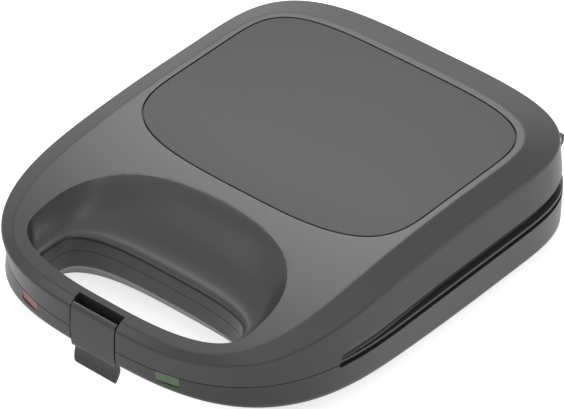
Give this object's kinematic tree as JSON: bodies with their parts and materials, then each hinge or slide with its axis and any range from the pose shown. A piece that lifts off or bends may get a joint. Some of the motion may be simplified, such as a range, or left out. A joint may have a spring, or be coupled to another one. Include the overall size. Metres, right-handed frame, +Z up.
{
  "type": "sandwich toaster",
  "caption": "Countertop sandwich toaster: hinged lid with a chamfered roof and inset panel, loop handle with a scoop, front latch clip, coated plates with diagonal ridges.",
  "frame": {"origin": "on the table under the middle of the object's box", "axes": "+Z up, +Y to the hinge at the rear, +X to the right as seen from the handle"},
  "size_m": [0.2378, 0.3116, 0.072],
  "materials": {
    "housing": "satin moulded, fine spark texture",
    "panel": "satin moulded, smooth",
    "inner_frame": "satin moulded",
    "plate_coating": "satin non-stick coating on cast aluminium",
    "heater_sheath": "dull sheath",
    "steel": "plain",
    "lens_red": "moulded, frosted",
    "lens_green": "moulded, frosted",
    "bulb_glass": "clear",
    "rubber": "moulded",
    "ceramic": "glazed",
    "sleeve": "glass-fibre sleeve"
  },
  "bodies": {
    "base": {"base_housing": "housing", "base_frame": "inner_frame", "lower_plate": "plate_coating", "lower_heater": "heater_sheath", "lower_heater_clips": "steel", "lower_reflector": "steel", "thermostat": "ceramic", "thermal_fuse": "sleeve", "terminal_block": "ceramic", "power_lens": "lens_red", "ready_lens": "lens_green", "lamp_bulbs": "bulb_glass", "lamp_holders": "ceramic", "cord_gland": "rubber", "hinge_pins": "steel", "rubber_feet": "rubber", "base_screws": "steel", "base_leads": "sleeve"},
    "lid": {"lid_housing": "housing", "lid_panel": "panel", "lid_frame": "inner_frame", "upper_plate": "plate_coating", "upper_heater": "heater_sheath", "upper_heater_clips": "steel", "upper_reflector": "steel", "lid_screws": "steel", "lid_leads": "sleeve", "latch_pin": "steel"},
    "latch": {"latch_clip": "housing"}
  },
  "joints": [
    {"name": "lid_hinge", "type": "hinge", "parent": "base", "child": "lid", "pos_m": [0, 0.15085, 0.0359], "axis": [-1, 0, 0], "range_deg": [0, 100]},
    {"name": "latch_hinge", "type": "hinge", "parent": "lid", "child": "latch", "pos_m": [-0.0022, -0.15115, 0.0432], "axis": [-1, 0, 0], "range_deg": [0, 40]}
  ]
}
